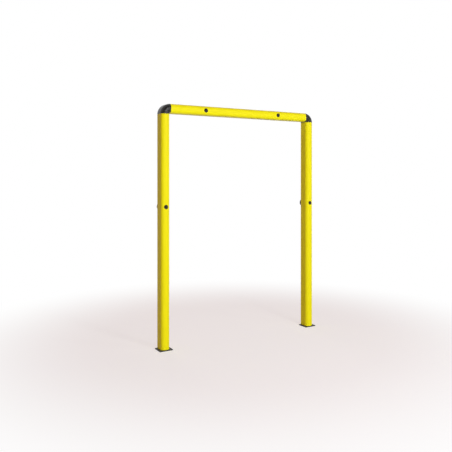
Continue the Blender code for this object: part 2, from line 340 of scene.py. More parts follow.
def floor_plate(side, material):
    """One plate with its upright, its weld and its two anchor holes."""
    low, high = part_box(side + "_floor_plate")
    post_low, post_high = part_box(side + "_post")
    plate_top = post_low.z - FIT_GAP
    upright_top = high.z
    centre = ((low.x + high.x) / 2, (low.y + high.y) / 2)
    post_centre = (centre[0], (post_low.y + post_high.y) / 2)
    edge = rounded_edge(PLATE_EDGE_RADIUS, PLATE_EDGE_STEPS)
    levels = [(inset, PLATE_EDGE_RADIUS - rise) for inset, rise in reversed(edge)]
    levels += [(inset, plate_top - PLATE_EDGE_RADIUS + rise) for inset, rise in edge]
    rings = []
    for inset, z in levels:
        size = (high.x - low.x - 2 * inset, high.y - low.y - 2 * inset)
        radius = PLATE_CORNER_RADIUS - inset
        outline = rounded_outline(*size, radius, radius, PLATE_CORNER_STEPS, PLATE_CORNER_STEPS)
        rings.append(ring_at(outline, z, centre))
    plate = new_object(side + "_plate", loft(rings))

    bore = SPIGOT_INSET + SPIGOT_WALL
    upright = (
        (SPIGOT_INSET, plate_top / 2),
        (SPIGOT_INSET, upright_top - UPRIGHT_LEAD_IN),
        (SPIGOT_INSET + UPRIGHT_LEAD_IN, upright_top),
        (bore, upright_top),
        (bore, plate_top + WELD_SIZE),
        (bore + WELD_SIZE, plate_top),
        (bore + WELD_SIZE, plate_top / 2),
    )
    rings = [ring_at(profile_outline(inset), z, post_centre) for inset, z in upright]
    cut(plate, new_object("upright", loft(rings, ring_joined=True)), "UNION")
    for end in ("front", "back"):
        anchor = middle_of(f"{side}_{end}_floor_anchor").xy
        angles = [math.tau * step / ANCHOR_HOLE_STEPS for step in range(ANCHOR_HOLE_STEPS)]
        spokes = [Vector((math.cos(angle), math.sin(angle))) for angle in angles]
        circle = [spoke * ANCHOR_HOLE_RADIUS + anchor for spoke in spokes]
        ends = (-plate_top, 2 * plate_top)
        drill = loft([[(point.x, point.y, z) for point in circle] for z in ends])
        cut(plate, new_object("drill", drill))
    plate.data.materials.clear()
    plate.data.materials.append(material)
    keep_true_flats(plate)
    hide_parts(side + "_floor_plate")
    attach(plate, "root")


POWDER_COAT = powder_coat()
for side in ("left", "right"):
    floor_plate(side, POWDER_COAT)

# Posts and beam
# Three lengths of one hollow polymer extrusion, coloured through in safety yellow. The posts
# stand on the floor plates. Each fixing has a stepped hole through the front for its cap.

CUT_EDGE = 0.0005
CUT_EDGE_SEGMENTS = 2
CUT_EDGE_ANGLE = math.radians(50)
CAP_DIAMETER = 0.040
SEAT_DIAMETER = CAP_DIAMETER + 2 * FIT_GAP
SEAT_FLOOR = 0.05217
ACCESS_DIAMETER = 0.031
BOLT_HOLE_DIAMETER = 0.013
HOLE_STEPS = 96
CUTTER_LENGTH = 0.2
DUST_FULL_HEIGHT = 0.01
DUST_END_HEIGHT = 0.16
YELLOW = (0.960, 0.930, 0.006)
YELLOW_DEEP = (0.915, 0.840, 0.004)
YELLOW_PALE = (0.970, 0.945, 0.012)
RUBBED_YELLOW = (0.620, 0.540, 0.060)
FLOOR_DUST = (0.520, 0.440, 0.130)


def extruded_yellow(name, lengthwise):
    """Satin yellow polymer with fine draw lines along the extrusion and a faint mottle."""
    polymer = Finish(name, specular=0.22)

    def drawn(across, along, detail, roughness=0.5):
        """A noise with one scale across the extrusion and another along it."""
        scales = Vector((across, across, across))
        scales["XYZ".index(lengthwise)] = along
        return polymer.noise(polymer.stretched(scales), 1.0, detail, roughness)

    fine_lines = drawn(across=430.0, along=2.5, detail=2.0)
    broad_bands = drawn(across=75.0, along=0.8, detail=2.0)
    rubs = drawn(across=38.0, along=9.0, detail=4.0, roughness=0.7).between(0.66, 0.78)
    mottle = polymer.noise(polymer.place, scale=14.0, detail=4.0, roughness=0.6)
    skin = polymer.noise(polymer.place, scale=780.0, detail=1.5)
    patches = polymer.noise(polymer.place, scale=55.0, detail=4.0, roughness=0.65)
    height = polymer.add("ShaderNodeSeparateXYZ", None, {0: polymer.place}, "Z")
    near_floor = 1.0 - height.between(DUST_FULL_HEIGHT, DUST_END_HEIGHT)
    dust = near_floor * patches.between(0.48, 0.80)
    deep = fine_lines.between(0.30, 0.70) * 0.30 + mottle * 0.20
    body = polymer.mix(deep, YELLOW, YELLOW_DEEP)
    body = polymer.mix(broad_bands.between(0.50, 0.80) * 0.35, body, YELLOW_PALE)
    body = polymer.mix(rubs * 0.12, body, RUBBED_YELLOW)
    surface = fine_lines * 0.55 + broad_bands * 1.2 + skin * 0.25 - rubs * 0.3
    return polymer.connect(
        Base_Color=polymer.mix(dust * 0.06, body, FLOOR_DUST),
        Roughness=0.38 + fine_lines * 0.10 + mottle * 0.08 + dust * 0.15 + rubs * 0.12,
        Normal=polymer.bump(surface, depth=0.00009, strength=0.7),
    )


def geometry_tree(name, inputs):
    """A geometry tree and the Wire of each named input. The first input is the mesh."""
    group = bpy.data.node_groups.new(name, "GeometryNodeTree")
    group.interface.new_socket("Geometry", in_out="INPUT", socket_type="NodeSocketGeometry")
    for label, kind in inputs.items():
        group.interface.new_socket(label, in_out="INPUT", socket_type="NodeSocket" + kind)
    group.interface.new_socket("Geometry", in_out="OUTPUT", socket_type="NodeSocketGeometry")
    tree = Tree(group)
    start = tree.add("NodeGroupInput")
    return tree, {label: start.other(label) for label in ("Geometry", *inputs)}


def finish_tree(tree, geometry, material):
    """Every tree ends in real geometry with its material on it."""
    real = tree.add("GeometryNodeRealizeInstances", None, {0: geometry})
    painted = tree.add("GeometryNodeSetMaterial", None, {"Geometry": real, "Material": material})
    tree.add("NodeGroupOutput", None, {0: painted})


def grown(name, tree, values, mesh=None):
    """A new object whose mesh comes from a geometry tree with these input values."""
    obj = new_object(name, mesh or bpy.data.meshes.new(name))
    modifier = obj.modifiers.new("shape", "NODES")
    modifier.node_group = tree.tree
    for item in tree.tree.interface.items_tree:
        if item.in_out == "INPUT" and item.name in values:
            modifier[item.identifier] = values[item.name]
    return obj


def hollow_profile_tree():
    """An even wall round the rounded outline, drawn to length and drilled from the front."""
    tree, given = geometry_tree(
        "hollow_profile",
        {
            "Width": "Float",
            "Depth": "Float",
            "Wall": "Float",
            "Front Radius": "Float",
            "Back Radius": "Float",
            "Front Steps": "Int",
            "Length": "Float",
            "Holes": "Int",
            "First Hole": "Float",
            "Hole Spacing": "Float",
            "Seat Diameter": "Float",
            "Seat Floor": "Float",
            "Access Diameter": "Float",
            "Bolt Hole Diameter": "Float",
            "Material": "Material",
        },
    )
    position = tree.add("GeometryNodeInputPosition")
    depth = tree.add("ShaderNodeSeparateXYZ", None, {0: position}, "Y")
    is_back = tree.add("FunctionNodeCompare", {"operation": "GREATER_THAN"}, {0: depth, 1: 0.0})

    def outline(inset):
        rectangle = tree.add(
            "GeometryNodeCurvePrimitiveQuadrilateral",
            {"mode": "RECTANGLE"},
            {"Width": given["Width"] - 2.0 * inset, "Height": given["Depth"] - 2.0 * inset},
        )
        radius = tree.add(
            "GeometryNodeSwitch",
            {"input_type": "FLOAT"},
            {
                "Switch": is_back,
                "False": given["Front Radius"] - inset,
                "True": given["Back Radius"] - inset,
            },
        )
        return tree.add(
            "GeometryNodeFilletCurve",
            {"mode": "POLY"},
            {"Curve": rectangle, "Count": given["Front Steps"], "Radius": radius},
        )

    outlines = [outline(0.0), outline(given["Wall"])]
    both = tree.add("GeometryNodeJoinGeometry", None, {0: outlines})
    section = tree.add("GeometryNodeFillCurve", {"mode": "NGONS"}, {"Curve": both})
    along = tree.add("ShaderNodeCombineXYZ", None, {"Z": given["Length"]})
    drawn = tree.add(
        "GeometryNodeExtrudeMesh",
        {"mode": "FACES"},
        {"Mesh": section, "Offset": along, "Individual": False},
    )
    foot = tree.add("GeometryNodeFlipFaces", None, {0: section})
    closed = tree.add("GeometryNodeJoinGeometry", None, {0: [drawn, foot]})
    merge = {0: closed, "Distance": MERGE_DISTANCE}
    tube = tree.add("GeometryNodeMergeByDistance", None, merge)

    def bore(diameter, near, far):
        """A cylinder along Y, from the near depth to the far one."""
        cylinder = tree.add(
            "GeometryNodeMeshCylinder",
            {"fill_type": "NGON"},
            {"Vertices": HOLE_STEPS, "Radius": diameter / 2.0, "Depth": far - near},
        )
        middle = tree.add("ShaderNodeCombineXYZ", None, {"Y": (near + far) / 2.0})
        return tree.add(
            "GeometryNodeTransform",
            None,
            {"Geometry": cylinder, "Translation": middle, "Rotation": (QUARTER, 0.0, 0.0)},
        )

    cutters = [
        bore(given["Seat Diameter"], -CUTTER_LENGTH, 0.0 - given["Seat Floor"]),
        bore(given["Access Diameter"], -CUTTER_LENGTH, 0.0),
        bore(given["Bolt Hole Diameter"], -CUTTER_LENGTH, CUTTER_LENGTH),
    ]
    first = tree.add("ShaderNodeCombineXYZ", None, {"Z": given["First Hole"]})
    step = tree.add("ShaderNodeCombineXYZ", None, {"Z": given["Hole Spacing"]})
    places = tree.add(
        "GeometryNodeMeshLine",
        {"mode": "OFFSET"},
        {"Count": given["Holes"], "Start Location": first, "Offset": step},
    )
    tools = []
    for cutter in cutters:
        sockets = {"Points": places, "Instance": cutter}
        spread = tree.add("GeometryNodeInstanceOnPoints", None, sockets)
        tools.append(tree.add("GeometryNodeRealizeInstances", None, {0: spread}))
    drilled = tree.add(
        "GeometryNodeMeshBoolean",
        {"operation": "DIFFERENCE", "solver": "EXACT"},
        {"Mesh 1": tube, "Mesh 2": tools},
    )
    finish_tree(tree, drilled, given["Material"])
    return tree


PROFILE_TREE = hollow_profile_tree()


def profile_piece(name, node, material, length, holes, place):
    """A length of profile with its holes, given by their evenly spaced distances along it."""
    piece = grown(
        name,
        PROFILE_TREE,
        {
            "Width": PROFILE_WIDTH,
            "Depth": PROFILE_DEPTH,
            "Wall": PROFILE_WALL,
            "Front Radius": FRONT_RADIUS,
            "Back Radius": BACK_RADIUS,
            "Front Steps": FRONT_ARC_STEPS,
            "Length": length,
            "Holes": len(holes),
            "First Hole": holes[0],
            "Hole Spacing": (holes[-1] - holes[0]) / max(len(holes) - 1, 1),
            "Seat Diameter": SEAT_DIAMETER,
            "Seat Floor": SEAT_FLOOR,
            "Access Diameter": ACCESS_DIAMETER,
            "Bolt Hole Diameter": BOLT_HOLE_DIAMETER,
            "Material": material,
        },
    )
    edges = piece.modifiers.new("cut_edges", "BEVEL")
    edges.width = CUT_EDGE
    edges.segments = CUT_EDGE_SEGMENTS
    edges.limit_method = "ANGLE"
    edges.angle_limit = CUT_EDGE_ANGLE
    settle(piece, place)
    keep_true_flats(piece)
    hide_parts(node)
    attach(piece, "root")


YELLOW_UPRIGHT = extruded_yellow("yellow_upright", "Z")
YELLOW_LEVEL = extruded_yellow("yellow_level", "X")
for side in ("left", "right"):
    low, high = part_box(side + "_post")
    foot = Vector(((low.x + high.x) / 2, (low.y + high.y) / 2, low.z))
    profile_piece(
        side + "_upright_profile",
        side + "_post",
        YELLOW_UPRIGHT,
        high.z - low.z,
        [middle_of(side + "_post_cap").z - low.z],
        Matrix.Translation(foot),
    )

low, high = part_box("top_beam")
start = Vector((low.x, (low.y + high.y) / 2, (low.z + high.z) / 2))
profile_piece(
    "level_profile",
    "top_beam",
    YELLOW_LEVEL,
    high.x - low.x,
    [middle_of(side + "_beam_cap").x - low.x for side in ("left", "right")],
    Matrix.Translation(start) @ Matrix.Rotation(QUARTER, 4, "Y"),
)

# Corners
# Each bend is one hollow moulding in black polymer, with a parting line down its sides and
# spark eroded texture. Its two spigots are pushed into the post and the beam.

BEND_INNER_RADIUS = 0.008
BEND_STEPS = 48
BEND_END_STEPS = 2
BORE_STEP = 2
SPIGOT_LENGTH = 0.060
SPIGOT_LEAD_IN = 0.0015
SHOULDER_EDGE = 0.0008
SHOULDER_STEPS = 3
PARTING_HEIGHT = 0.00018
PARTING_HALF_WIDTH = 0.0006
PARTING_CREST = 0.0002
SCUFF_STRETCH = (35.0, 35.0, 420.0)
MOULDED_BLACK = (0.0095, 0.0091, 0.0083)
MOULDED_GREY = (0.0230, 0.0220, 0.0200)
SCUFF_GREY = (0.090, 0.086, 0.078)


def moulded_black(name):
    """Black moulded polymer: spark texture, faint flow marks and a few light scuffs."""
    polymer = Finish(name, specular=0.36)
    spark = polymer.noise(polymer.place, scale=2300.0, detail=2.0, roughness=0.6)
    grain = polymer.noise(polymer.place, scale=800.0, detail=2.0)
    flow = polymer.noise(polymer.place, scale=26.0, detail=3.0, roughness=0.55)
    streaks = polymer.stretched(SCUFF_STRETCH)
    scuffs = polymer.noise(streaks, scale=1.0, detail=3.0, roughness=0.7).between(0.68, 0.80)
    colour = polymer.mix(flow.between(0.30, 0.75) * 0.8, MOULDED_BLACK, MOULDED_GREY)
    return polymer.connect(
        Base_Color=polymer.mix(scuffs * 0.25, colour, SCUFF_GREY),
        Roughness=0.20 + spark * 0.08 + flow * 0.08 + scuffs * 0.12,
        Normal=polymer.bump(spark * 0.6 + grain * 0.5, depth=0.00002, strength=0.6),
    )


def moulded_outline(inset):
    """The profile's outline with the raised parting line halfway down both sides."""
    points = profile_outline(inset)
    rise = PARTING_HEIGHT if inset < PARTING_HEIGHT else 0.0
    side_x = PROFILE_WIDTH / 2 - inset
    line = (
        (0.0, -PARTING_HALF_WIDTH),
        (rise, -PARTING_CREST),
        (rise, PARTING_CREST),
        (0.0, PARTING_HALF_WIDTH),
    )
    right = [(side_x + out, y) for out, y in line]
    left = [(-side_x - out, -y) for out, y in line]
    first = FRONT_ARC_STEPS + 1
    second = first + 2 * (BACK_ARC_STEPS + 1)
    return points[:first] + right + points[first:second] + left + points[second:]


def corner_piece(side, sign, material):
    """The bend from the post's top end round to the beam's end. A sign of -1 mirrors it."""
    low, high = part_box(side + "_post")
    top = Vector(((low.x + high.x) / 2, (low.y + high.y) / 2, high.z + FIT_GAP))
    pivot = PROFILE_WIDTH / 2 + BEND_INNER_RADIUS

    def station(inset, angle, beyond=0.0):
        """A ring at an angle round the bend, or beyond one of its ends."""
        way = Vector((math.sin(angle), 0.0, math.cos(angle)))
        ring = []
        for x, y in moulded_outline(inset):
            arm = pivot - x
            point = Vector((pivot - arm * math.cos(angle), y, arm * math.sin(angle)))
            ring.append(point + way * beyond)
        return ring

    def bend(inset, steps):
        return [station(inset, QUARTER * step / BEND_STEPS) for step in steps]

    # The rounded edges take the place of the bend's end steps. On its tight inner side they reach
    # 0.28 mm past the first ring, and the surface folds back there. That isn't mended yet.
    bore = SPIGOT_INSET + SPIGOT_WALL
    edge = rounded_edge(SHOULDER_EDGE, SHOULDER_STEPS)
    rings = [
        station(SPIGOT_INSET + SPIGOT_LEAD_IN, 0.0, -SPIGOT_LENGTH),
        station(SPIGOT_INSET, 0.0, SPIGOT_LEAD_IN - SPIGOT_LENGTH),
        station(SPIGOT_INSET, 0.0),
    ]
    rings += [station(inset, 0.0, SHOULDER_EDGE - rise) for inset, rise in reversed(edge)]
    rings += bend(0.0, range(BEND_END_STEPS, BEND_STEPS - BEND_END_STEPS + 1))
    rings += [station(inset, QUARTER, rise - SHOULDER_EDGE) for inset, rise in edge]
    rings += [
        station(SPIGOT_INSET, QUARTER),
        station(SPIGOT_INSET, QUARTER, SPIGOT_LENGTH - SPIGOT_LEAD_IN),
        station(SPIGOT_INSET + SPIGOT_LEAD_IN, QUARTER, SPIGOT_LENGTH),
        station(bore, QUARTER, SPIGOT_LENGTH),
    ]
    rings += bend(bore, range(BEND_STEPS, -1, -BORE_STEP))
    rings.append(station(bore, 0.0, -SPIGOT_LENGTH))
    corner = new_object(side + "_bend", loft(rings, ring_joined=True))
    corner.data.materials.append(material)
    settle(corner, Matrix.Translation(top) @ Matrix.Diagonal((sign, 1.0, 1.0, 1.0)))
    keep_true_flats(corner)
    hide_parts(side + "_corner")
    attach(corner, "root")


MOULDED = moulded_black("moulded_corner")
corner_piece("left", 1.0, MOULDED)
corner_piece("right", -1.0, MOULDED)

# Spacers
# Thick round pads of black polymer that hold the profile off the surface behind it. The fixing
# bolts pass through them, and a shallow groove in their back face drains the joint.

SPACER_EDGE = 0.0015
SPACER_BORE_EDGE = 0.0005
SPACER_RADIUS = 0.038
SPACER_THICKNESS = 0.018
SPACER_BORE = 0.0065
GROOVE_INNER = 0.024
GROOVE_OUTER = 0.030
GROOVE_DEPTH = 0.0006
GROOVE_EDGE = 0.0002
TURNED_STEPS = 96
EDGE_STEPS = 4
CARRIER_RADIUS = 1.0
FACING_FRONT = (QUARTER, 0.0, 0.0)
FIXINGS = [f"{side}_{member}" for side in ("left", "right") for member in ("post", "beam")]


def finish_on_places(tree, given, form):
    """The form set down on every point of the places, as real geometry."""
    places = tree.add("GeometryNodeObjectInfo", None, {"Object": given["Places"]}, "Geometry")
    sockets = {"Points": places, "Instance": form, "Rotation": given["Facing"]}
    spread = tree.add("GeometryNodeInstanceOnPoints", None, sockets)
    finish_tree(tree, spread, given["Material"])


def turned_tree():
    """A section turned about Z, with its corners rounded, and set down on every place."""
    tree, given = geometry_tree(
        "turned_pieces",
        {
            "Places": "Object",
            "Steps": "Int",
            "Edge Steps": "Int",
            "Facing": "Vector",
            "Material": "Material",
        },
    )
    section = tree.add("GeometryNodeMeshToCurve", None, {0: given["Geometry"]})
    attribute = {"Name": "edge_radius"}
    radius = tree.add("GeometryNodeInputNamedAttribute", {"data_type": "FLOAT"}, attribute)
    rounded = tree.add(
        "GeometryNodeFilletCurve",
        {"mode": "POLY"},
        {"Curve": section, "Count": given["Edge Steps"], "Radius": radius, "Limit Radius": True},
    )
    position = tree.add("GeometryNodeInputPosition")
    out = tree.add("ShaderNodeSeparateXYZ", None, {0: position}, "X")
    on_carrier = {"X": out - CARRIER_RADIUS, "Y": 0.0 - out.other("Z")}
    across = tree.add("ShaderNodeCombineXYZ", None, on_carrier)
    laid = tree.add("GeometryNodeSetPosition", None, {"Geometry": rounded, "Position": across})
    circle = tree.add(
        "GeometryNodeCurvePrimitiveCircle",
        {"mode": "RADIUS"},
        {"Resolution": given["Steps"], "Radius": CARRIER_RADIUS},
    )
    level = tree.add("GeometryNodeSetCurveNormal", {"mode": "Z_UP"}, {0: circle})
    swept = tree.add("GeometryNodeCurveToMesh", None, {"Curve": level, "Profile Curve": laid})
    merge = {0: swept, "Distance": MERGE_DISTANCE}
    closed = tree.add("GeometryNodeMergeByDistance", None, merge)
    finish_on_places(tree, given, closed)
    return tree


TURNED_TREE = turned_tree()


def set_down(name, tree, values, origins, mesh=None, sharp_angle=SHARP_ANGLE):
    """One piece with the tree's form on every origin."""
    points = bpy.data.meshes.new("places")
    points.from_pydata(origins, [], [])
    places = new_object("places", points)
    piece = grown(name, tree, {"Places": places, **values}, mesh)
    settle(piece, sharp_angle=sharp_angle)
    bpy.data.objects.remove(places, do_unlink=True)
    return piece


def turned_pieces(name, section, is_ring, nodes, origins, material, facing=FACING_FRONT):
    """One piece for several like nodes. A section point is (radius, height, edge radius)."""
    count = len(section)
    edges = [(index, index + 1) for index in range(count - 1)]
    if is_ring:
        edges.append((count - 1, 0))
    mesh = bpy.data.meshes.new(name)
    mesh.from_pydata([(radius, 0.0, height) for radius, height, _ in section], edges, [])
    edge_radius = mesh.attributes.new("edge_radius", "FLOAT", "POINT")
    edge_radius.data.foreach_set("value", [edge for _, _, edge in section])
    values = {
        "Steps": TURNED_STEPS,
        "Edge Steps": EDGE_STEPS,
        "Facing": facing,
        "Material": material,
    }
    piece = set_down(name, TURNED_TREE, values, origins, mesh)
    keep_true_flats(piece)
    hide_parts(*nodes)
    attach(piece, "root")


def fixing_origins(kind):
    """The points on the guard's back plane where each fixing's axis starts."""
    middles = [middle_of(f"{fixing}_{kind}") for fixing in FIXINGS]
    return [(middle.x, cad_box[1].y, middle.z) for middle in middles]


MOULDED_PAD = moulded_black("moulded_pad")
turned_pieces(
    "wall_pads",
    (
        (SPACER_BORE, SPACER_THICKNESS, SPACER_BORE_EDGE),
        (SPACER_RADIUS, SPACER_THICKNESS, SPACER_EDGE),
        (SPACER_RADIUS, 0.0, SPACER_EDGE),
        (GROOVE_OUTER, 0.0, GROOVE_EDGE),
        (GROOVE_OUTER, GROOVE_DEPTH, GROOVE_EDGE),
        (GROOVE_INNER, GROOVE_DEPTH, GROOVE_EDGE),
        (GROOVE_INNER, 0.0, GROOVE_EDGE),
        (SPACER_BORE, 0.0, SPACER_BORE_EDGE),
    ),
    True,
    [fixing + "_spacer" for fixing in FIXINGS],
    fixing_origins("spacer"),
    MOULDED_PAD,
)

# Washers, fixing bolts and floor anchors
# M12 hexagon bolts with rolled threads on plain washers, zinc plated and clear passivated. The
# fixing bolts are tightened inside the hollow profile, and the anchors inside the feet.

WASHER_RADIUS = 0.012
WASHER_BORE = 0.0065
WASHER_THICKNESS = 0.0025
WASHER_EDGE = 0.0004
BOLT_DIAMETER = 0.012
BOLT_STEPS = 40
BOLT_SHARP_ANGLE = math.radians(30)
THREAD_PITCH = 0.00175
THREAD_DEPTH = 0.00095
THREAD_RUN_IN = 0.0010
RINGS_PER_TURN = 6
ACROSS_FLATS = 0.018
HEAD_SIDES = 6
HEAD_HEIGHT = 0.0075
HEAD_TOP_RADIUS = 0.0086
HEAD_CHAMFER = math.radians(30)
HEAD_SPARE = 0.001
FIXING_SHANK = 0.0274
ANCHOR_SHANK = 0.0101
STANDING = (0.0, 0.0, 0.0)
FEET = [f"{side}_{end}" for side in ("left", "right") for end in ("front", "back")]
ZINC_LIGHT = (0.62, 0.63, 0.64)
ZINC_BLUISH = (0.50, 0.54, 0.62)
ZINC_STRAW = (0.62, 0.58, 0.47)


def zinc_plate():
    """Bright zinc with a thin passivated film that drifts between blue and straw."""
    zinc = Finish("zinc_plate", specular=0.5, metallic=1.0)
    drift = zinc.noise(zinc.place, scale=70.0, detail=3.0, roughness=0.55)
    crystals = zinc.noise(zinc.place, scale=900.0, detail=2.0)
    film = zinc.mix(drift.between(0.35, 0.70), ZINC_BLUISH, ZINC_STRAW)
    return zinc.connect(
        Base_Color=zinc.mix(0.45 + crystals * 0.30, film, ZINC_LIGHT),
        Roughness=0.26 + drift * 0.14 + crystals * 0.10,
        Normal=zinc.bump(crystals, depth=0.00002, strength=0.5),
    )


ZINC_PLATE = zinc_plate()


def threaded_bolt_tree():
    """A chamfered hexagon head on a shank with a helical thread, set down on every place."""
    tree, given = geometry_tree(
        "threaded_bolts",
        {
            "Places": "Object",
            "Facing": "Vector",
            "Steps": "Int",
            "Rings": "Int",
            "Shank Length": "Float",
            "Diameter": "Float",
            "Pitch": "Float",
            "Thread Depth": "Float",
            "Run In": "Float",
            "Across Flats": "Float",
            "Head Height": "Float",
            "Head Top Radius": "Float",
            "Material": "Material",
        },
    )

    def moved(geometry, z):
        up = tree.add("ShaderNodeCombineXYZ", None, {"Z": z})
        return tree.add("GeometryNodeTransform", None, {"Geometry": geometry, "Translation": up})

    into_head = given["Head Height"] / 2.0
    rod = tree.add(
        "GeometryNodeMeshCylinder",
        {"fill_type": "NGON"},
        {
            "Vertices": given["Steps"],
            "Side Segments": given["Rings"],
            "Radius": given["Diameter"] / 2.0,
            "Depth": given["Shank Length"] + into_head,
        },
    )
    rod = moved(rod, (into_head - given["Shank Length"]) / 2.0)
    position = tree.add("GeometryNodeInputPosition")
    x = tree.add("ShaderNodeSeparateXYZ", None, {0: position}, "X")
    y, z = x.other("Y"), x.other("Z")
    turns = y.maths("ARCTAN2", y, x) / math.tau
    groove = z.maths("PINGPONG", z / given["Pitch"] - turns, 0.5) * 2.0
    end = 1.0 - ((z + given["Shank Length"]) / given["Run In"]).between(0.0, 1.0)
    deepest = groove.maths("MAXIMUM", groove, end)
    kept = 1.0 - deepest * given["Thread Depth"] * 2.0 / given["Diameter"]
    place = tree.add("ShaderNodeCombineXYZ", None, {"X": x * kept, "Y": y * kept, "Z": z})
    shank = tree.add("GeometryNodeSetPosition", None, {"Geometry": rod, "Position": place})

    blank_height = given["Head Height"] + HEAD_SPARE
    hexagon = tree.add(
        "GeometryNodeMeshCylinder",
        {"fill_type": "NGON"},
        {
            "Vertices": HEAD_SIDES,
            "Radius": given["Across Flats"] / (2.0 * math.cos(math.pi / HEAD_SIDES)),
            "Depth": blank_height,
        },
    )
    hexagon = moved(hexagon, blank_height / 2.0)
    cone = tree.add(
        "GeometryNodeMeshCone",
        {"fill_type": "NGON"},
        {
            "Vertices": given["Steps"],
            "Radius Top": given["Head Top Radius"],
            "Radius Bottom": given["Head Top Radius"] + blank_height / math.tan(HEAD_CHAMFER),
            "Depth": blank_height,
        },
    )
    cone = moved(cone, -HEAD_SPARE)
    head = tree.add(
        "GeometryNodeMeshBoolean",
        {"operation": "INTERSECT", "solver": "EXACT"},
        {"Mesh 2": [hexagon, cone]},
    )
    bolt = tree.add(
        "GeometryNodeMeshBoolean",
        {"operation": "UNION", "solver": "EXACT"},
        {"Mesh 2": [head, shank]},
    )
    finish_on_places(tree, given, bolt)
    return tree


BOLT_TREE = threaded_bolt_tree()


def bolts(name, shank_length, nodes, origins, facing):
    """Bolts of one length, with their origins under their heads."""
    values = {
        "Facing": facing,
        "Steps": BOLT_STEPS,
        "Rings": round(shank_length / THREAD_PITCH * RINGS_PER_TURN),
        "Shank Length": shank_length,
        "Diameter": BOLT_DIAMETER,
        "Pitch": THREAD_PITCH,
        "Thread Depth": THREAD_DEPTH,
        "Run In": THREAD_RUN_IN,
        "Across Flats": ACROSS_FLATS,
        "Head Height": HEAD_HEIGHT,
        "Head Top Radius": HEAD_TOP_RADIUS,
        "Material": ZINC_PLATE,
    }
    piece = set_down(name, BOLT_TREE, values, origins, sharp_angle=BOLT_SHARP_ANGLE)
    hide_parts(*nodes)
    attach(piece, "root")


def washers(name, nodes, origins, facing):
    """Plain washers, with their origins in the face away from the bolts' heads."""
    section = (
        (WASHER_BORE, WASHER_THICKNESS, WASHER_EDGE),
        (WASHER_RADIUS, WASHER_THICKNESS, WASHER_EDGE),
        (WASHER_RADIUS, 0.0, WASHER_EDGE),
        (WASHER_BORE, 0.0, WASHER_EDGE),
    )
    turned_pieces(name, section, True, nodes, origins, ZINC_PLATE, facing)


washer_origins = []
bolt_origins = []
for fixing in FIXINGS:
    washer_low, washer_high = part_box(fixing + "_washer")
    bolt_low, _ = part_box(fixing + "_bolt")
    middle = (washer_low + washer_high) / 2
    washer_origins.append((middle.x, washer_high.y, middle.z))
    bolt_origins.append((middle.x, bolt_low.y + HEAD_HEIGHT, middle.z))
nodes = [fixing + "_washer" for fixing in FIXINGS]
washers("wall_washers", nodes, washer_origins, FACING_FRONT)
nodes = [fixing + "_bolt" for fixing in FIXINGS]
bolts("wall_bolts", FIXING_SHANK, nodes, bolt_origins, FACING_FRONT)

washer_origins = []
anchor_origins = []
for foot in FEET:
    washer_low, washer_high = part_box(foot + "_anchor_washer")
    _, anchor_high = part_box(foot + "_floor_anchor")
    middle = (washer_low + washer_high) / 2
    washer_origins.append((middle.x, middle.y, washer_low.z))
    anchor_origins.append((middle.x, middle.y, anchor_high.z - HEAD_HEIGHT))
nodes = [foot + "_anchor_washer" for foot in FEET]
washers("anchor_washers", nodes, washer_origins, STANDING)
nodes = [foot + "_floor_anchor" for foot in FEET]
bolts("floor_anchors", ANCHOR_SHANK, nodes, anchor_origins, STANDING)

# Hole caps
# Domed black caps moulded in one piece with a hollow skirt. The flange lies in its seat in
# the profile's front, and the skirt's lip snaps behind the profile's wall to hide the bolt.

PROFILE_MIDDLE = SPACER_THICKNESS + FIT_GAP + PROFILE_DEPTH / 2
PROFILE_FRONT = PROFILE_MIDDLE + PROFILE_DEPTH / 2
CAP_RADIUS = CAP_DIAMETER / 2
CAP_DOME = 0.007
CAP_DOME_STEPS = 16
CAP_RIM_PROUD = 0.001
CAP_RIM_HEIGHT = PROFILE_FRONT + CAP_RIM_PROUD
CAP_RIM_EDGE = 0.0006
CAP_WALL = 0.002
CAP_FLANGE_BACK = PROFILE_MIDDLE + SEAT_FLOOR + FIT_GAP
CAP_FLANGE_EDGE = 0.0003
CAP_SKIRT_RADIUS = ACCESS_DIAMETER / 2 - FIT_GAP
CAP_LIP = 0.0007
CAP_LIP_GAP = 0.0008
CAP_LIP_TOP = PROFILE_FRONT - PROFILE_WALL - CAP_LIP_GAP
CAP_LIP_EDGE = 0.0002
CAP_TAIL = 0.003
CAP_TAIL_EDGE = 0.0005


def cap_section():
    """A cap from the middle of its dome, over its rim and lip, and back up inside its skirt."""
    sphere = (CAP_RADIUS**2 + CAP_DOME**2) / (2 * CAP_DOME)

    def dome(radius):
        return CAP_RIM_HEIGHT + CAP_DOME - sphere + math.sqrt(sphere**2 - radius**2)

    inner = CAP_SKIRT_RADIUS - CAP_WALL
    lip_end = CAP_LIP_TOP - 2 * CAP_LIP
    tail_end = lip_end - CAP_TAIL
    outer_radii = [CAP_RADIUS * step / CAP_DOME_STEPS for step in range(CAP_DOME_STEPS)]
    inner_radii = [inner * (1 - step / CAP_DOME_STEPS) for step in range(CAP_DOME_STEPS + 1)]
    section = [(radius, dome(radius), 0.0) for radius in outer_radii]
    section += [
        (CAP_RADIUS, dome(CAP_RADIUS), CAP_RIM_EDGE),
        (CAP_RADIUS, CAP_FLANGE_BACK, CAP_FLANGE_EDGE),
        (CAP_SKIRT_RADIUS, CAP_FLANGE_BACK, 0.0),
        (CAP_SKIRT_RADIUS, CAP_LIP_TOP, 0.0),
        (CAP_SKIRT_RADIUS + CAP_LIP, CAP_LIP_TOP - CAP_LIP, CAP_LIP_EDGE),
        (CAP_SKIRT_RADIUS, lip_end, 0.0),
        (CAP_SKIRT_RADIUS, tail_end, CAP_TAIL_EDGE),
        (inner, tail_end, CAP_TAIL_EDGE),
    ]
    section += [(radius, dome(radius) - CAP_WALL, 0.0) for radius in inner_radii]
    return section


